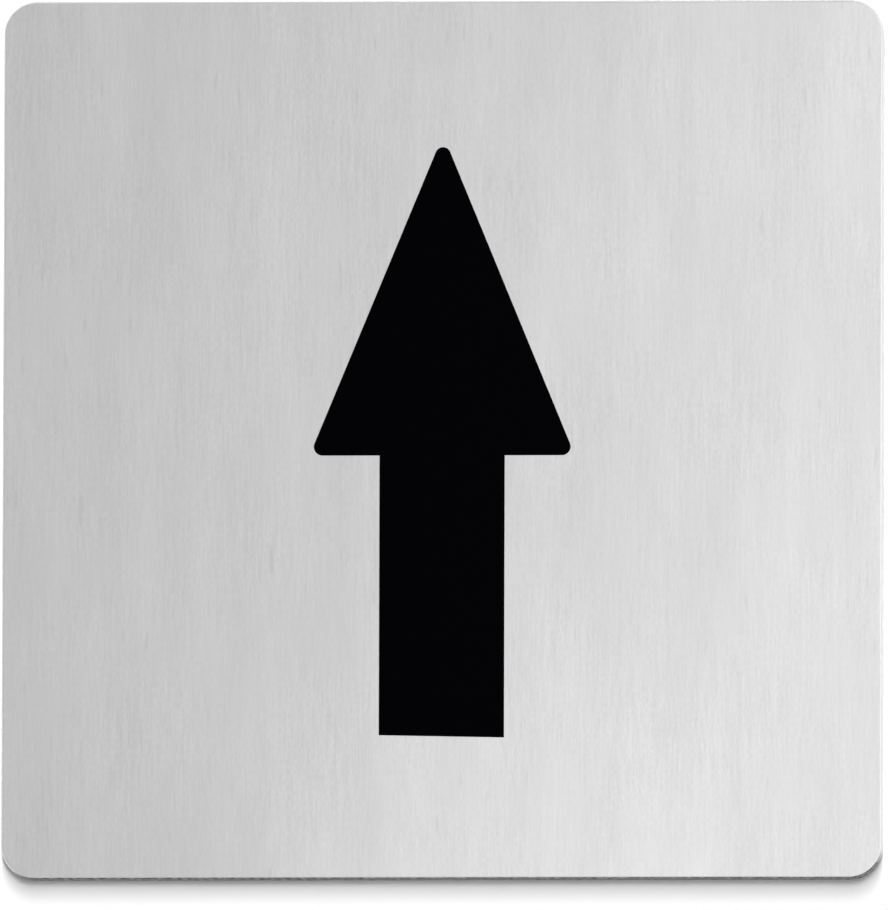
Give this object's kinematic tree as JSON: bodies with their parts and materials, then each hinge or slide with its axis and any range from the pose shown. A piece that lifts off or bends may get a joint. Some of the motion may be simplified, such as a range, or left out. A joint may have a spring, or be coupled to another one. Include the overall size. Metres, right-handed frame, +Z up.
{
  "type": "arrow sign",
  "caption": "Small square wall sign: a brushed steel plate with rounded corners and a black upright arrow set in its face, on a foam pad that sticks it to a wall.",
  "frame": {"origin": "middle of the adhesive pad's back face, which lies on the wall", "axes": "+Z up, the way the arrow points; +X to the reader's right; -Y out of the face towards the reader, so +Y runs into the wall"},
  "size_m": [0.085, 0.004, 0.085],
  "materials": {
    "brushed_stainless_steel": "brushed from top to bottom",
    "black_enamel": "satin, filled into the etched arrow",
    "foam_tape": "matt, sticky back"
  },
  "bodies": {
    "root": {"plate": "brushed_stainless_steel", "arrow_fill": "black_enamel", "adhesive_pad": "foam_tape"}
  },
  "joints": []
}
